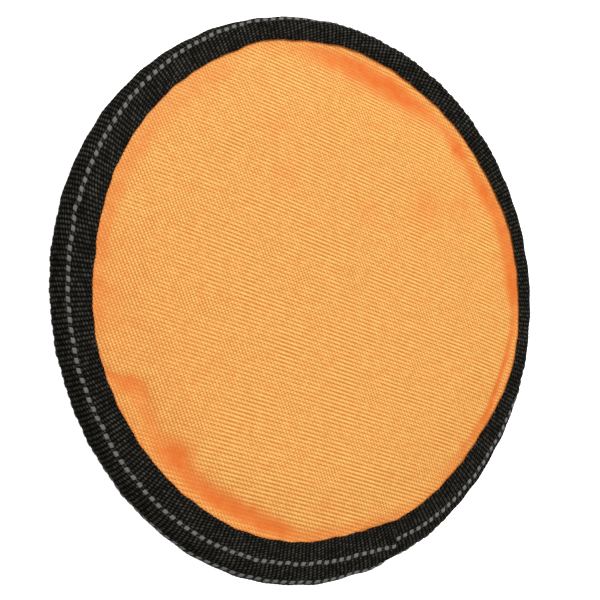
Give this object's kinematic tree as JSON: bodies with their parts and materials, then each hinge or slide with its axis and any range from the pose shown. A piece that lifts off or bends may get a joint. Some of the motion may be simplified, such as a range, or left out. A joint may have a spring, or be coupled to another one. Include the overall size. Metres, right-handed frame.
{
  "type": "soft flying disc",
  "caption": "Soft fabric flying disc: padded nylon face and back, webbing-bound rounded rim with woven-in reflective yarns.",
  "frame": {"origin": "centre of the disc, in the plane of the back panel that it rests on", "axes": "+Z is the spin axis, pointing out of the orange face; the webbing's lap joint is in the -Y half, about 18 degrees towards +X from -Y"},
  "size_m": [0.2312, 0.2312, 0.011],
  "materials": {
    "nylon_orange": "plain-weave nylon, slight sheen",
    "webbing_black": "ribbed plain-weave webbing, matte",
    "reflective_yarn_grey": "retro-reflective yarn, satin",
    "thread_black": "twisted sewing thread",
    "foam_white": "closed-cell foam, matte",
    "cord_grey": "foam cord, matte"
  },
  "bodies": {
    "root": {"face_panel": "nylon_orange", "back_panel": "nylon_orange", "foam_pad": "foam_white", "rim_cord": "cord_grey", "rim_webbing": "webbing_black", "reflective_yarn_face_side": "reflective_yarn_grey", "reflective_yarn_rim_side": "reflective_yarn_grey", "face_seam_needle_thread": "thread_black", "face_seam_bobbin_thread": "thread_black", "back_seam_needle_thread": "thread_black", "back_seam_bobbin_thread": "thread_black"}
  },
  "joints": []
}
